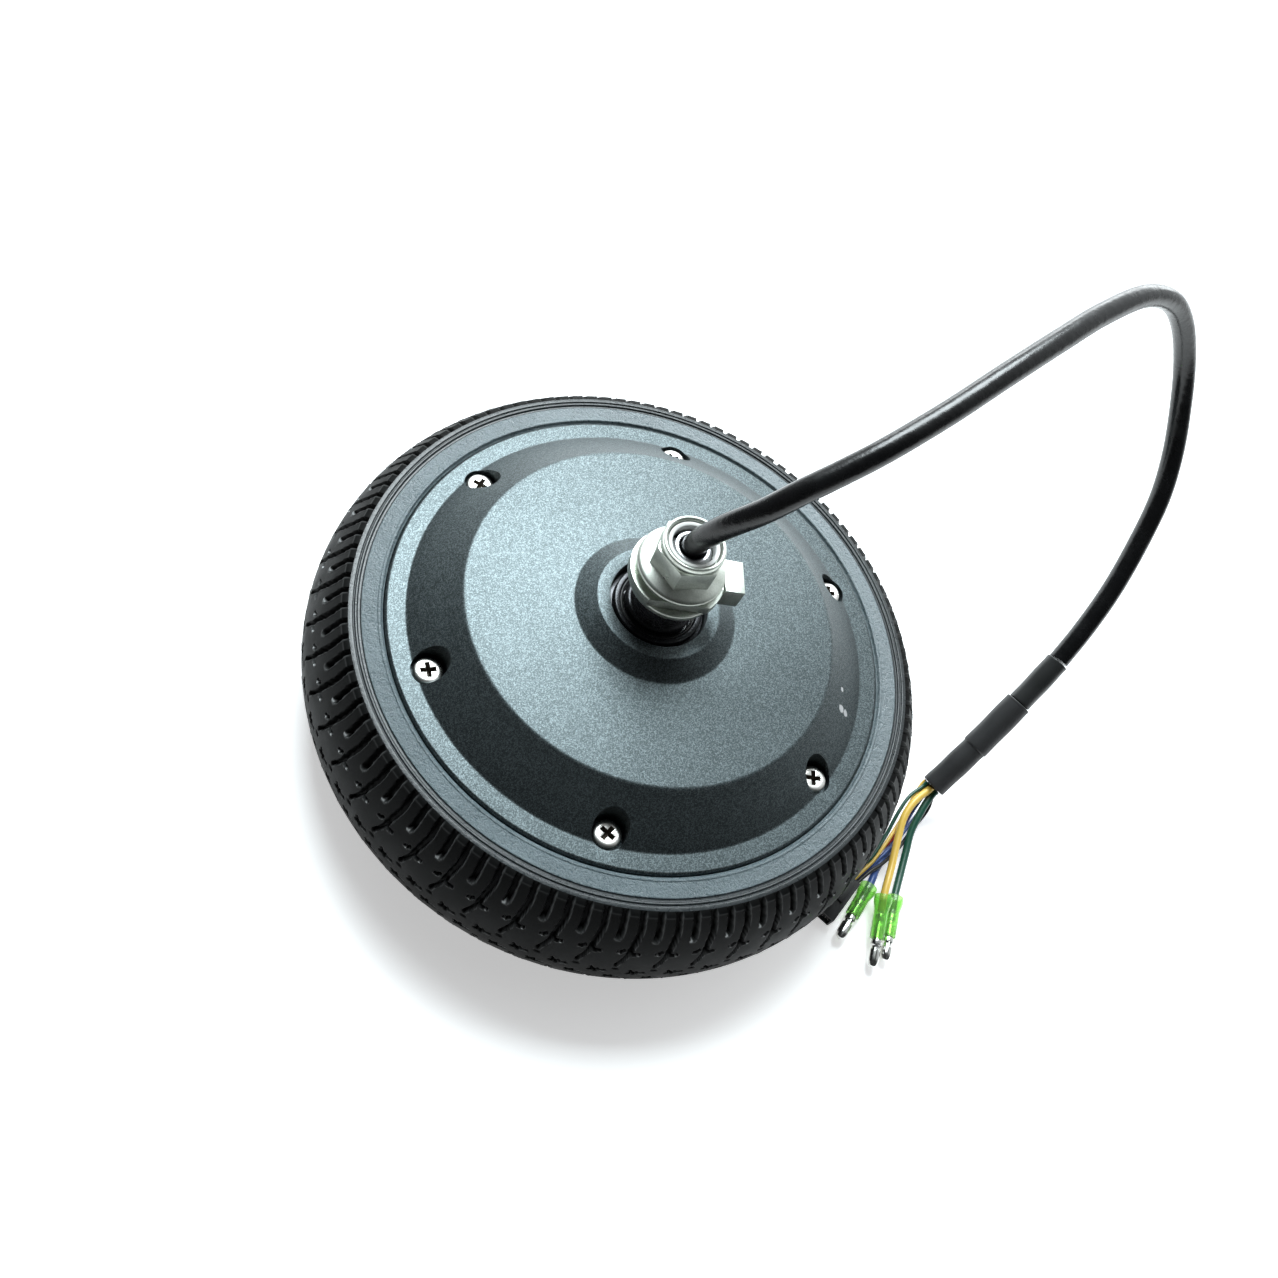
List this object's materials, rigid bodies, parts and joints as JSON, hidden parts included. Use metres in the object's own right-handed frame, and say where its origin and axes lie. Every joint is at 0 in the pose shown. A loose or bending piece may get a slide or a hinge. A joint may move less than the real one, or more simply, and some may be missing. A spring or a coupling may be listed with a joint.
{
  "type": "hub motor wheel",
  "caption": "Small hub motor wheel: solid treaded tyre on a coated drum with a brushless motor inside, hollow threaded axle with nut and washers, and a cable ending in bullet and sensor plugs.",
  "frame": {"origin": "on the spin axis at the plane of the back sidewall, which is the floor the wheel lies on", "axes": "+Z is the spin axis, towards the cable end of the axle; +X is towards the side where the cable comes down; +Y makes the frame right-handed"},
  "size_m": [0.2326, 0.2508, 0.1574],
  "materials": {
    "tyre": "semi-matte solid rubber",
    "cover_coat": "sparkling powder coat",
    "shell_coat": "powder coat",
    "gasket": "matte",
    "nickel": "bright plated",
    "lamination": "satin",
    "magnet": "satin nickel",
    "bearing_steel": "ground",
    "seal_rubber": "matte",
    "enamel_wire": "enamelled copper",
    "carrier_alloy": "cast",
    "circuit_board": "solder mask",
    "black_steel": "black oxide",
    "zinc": "zinc plated",
    "nylon": "white nylon",
    "cable_jacket": "gloss",
    "sleeve": "semi-matte shrink sleeve",
    "wire_yellow": "gloss",
    "wire_green": "gloss",
    "wire_blue": "gloss",
    "wire_red": "gloss",
    "wire_black": "gloss",
    "insulator": "translucent",
    "tin": "tin plated",
    "connector_plastic": "matte"
  },
  "bodies": {
    "axle_side": {"front_bearing_inner_race": "bearing_steel", "rear_bearing_inner_race": "bearing_steel", "stator_core": "lamination", "stator_winding": "enamel_wire", "stator_carrier": "carrier_alloy", "hall_sensor_board": "circuit_board", "axle": "black_steel", "axle_spacer": "bearing_steel", "round_washer": "zinc", "torque_washer": "zinc", "lock_washer": "zinc", "flange_nut": "zinc", "nut_insert": "nylon", "motor_cable": "cable_jacket", "cable_sleeve_thin": "sleeve", "cable_sleeve_middle": "sleeve", "cable_sleeve_end": "sleeve", "phase_wire_yellow": "wire_yellow", "phase_wire_green": "wire_green", "phase_wire_blue": "wire_blue", "hall_wire_green": "wire_green", "hall_wire_yellow": "wire_yellow", "hall_wire_red": "wire_red", "hall_wire_blue": "wire_blue", "hall_wire_black": "wire_black", "bullet_insulator_yellow": "insulator", "bullet_insulator_green": "insulator", "bullet_insulator_blue": "insulator", "bullet_terminal_yellow": "tin", "bullet_terminal_green": "tin", "bullet_terminal_blue": "tin", "hall_connector": "connector_plastic"},
    "wheel": {"tyre": "tyre", "hub_shell": "shell_coat", "cover_gasket": "gasket", "front_cover": "cover_coat", "cover_screw_1": "nickel", "cover_screw_2": "nickel", "cover_screw_3": "nickel", "cover_screw_4": "nickel", "cover_screw_5": "nickel", "cover_screw_6": "nickel", "flux_ring": "lamination", "magnet_ring": "magnet", "front_seal_case": "bearing_steel", "front_seal_lip": "seal_rubber", "front_bearing_outer_race": "bearing_steel", "rear_bearing_outer_race": "bearing_steel"},
    "front_balls": {"front_bearing_balls": "bearing_steel"},
    "rear_balls": {"rear_bearing_balls": "bearing_steel"}
  },
  "joints": [
    {"name": "wheel_spin", "type": "hinge", "parent": "axle_side", "child": "wheel", "pos_m": [0, 0, 0.025], "axis": [0, 0, 1], "continuous": true},
    {"name": "front_balls_spin", "type": "hinge", "parent": "axle_side", "child": "front_balls", "pos_m": [0, 0, 0.0556], "axis": [0, 0, 1], "continuous": true},
    {"name": "rear_balls_spin", "type": "hinge", "parent": "axle_side", "child": "rear_balls", "pos_m": [0, 0, 0.0104], "axis": [0, 0, 1], "continuous": true}
  ],
  "couplings": [
    {"joint": "front_balls_spin", "follows": "wheel_spin", "ratio": 0.58},
    {"joint": "rear_balls_spin", "follows": "wheel_spin", "ratio": 0.58}
  ]
}
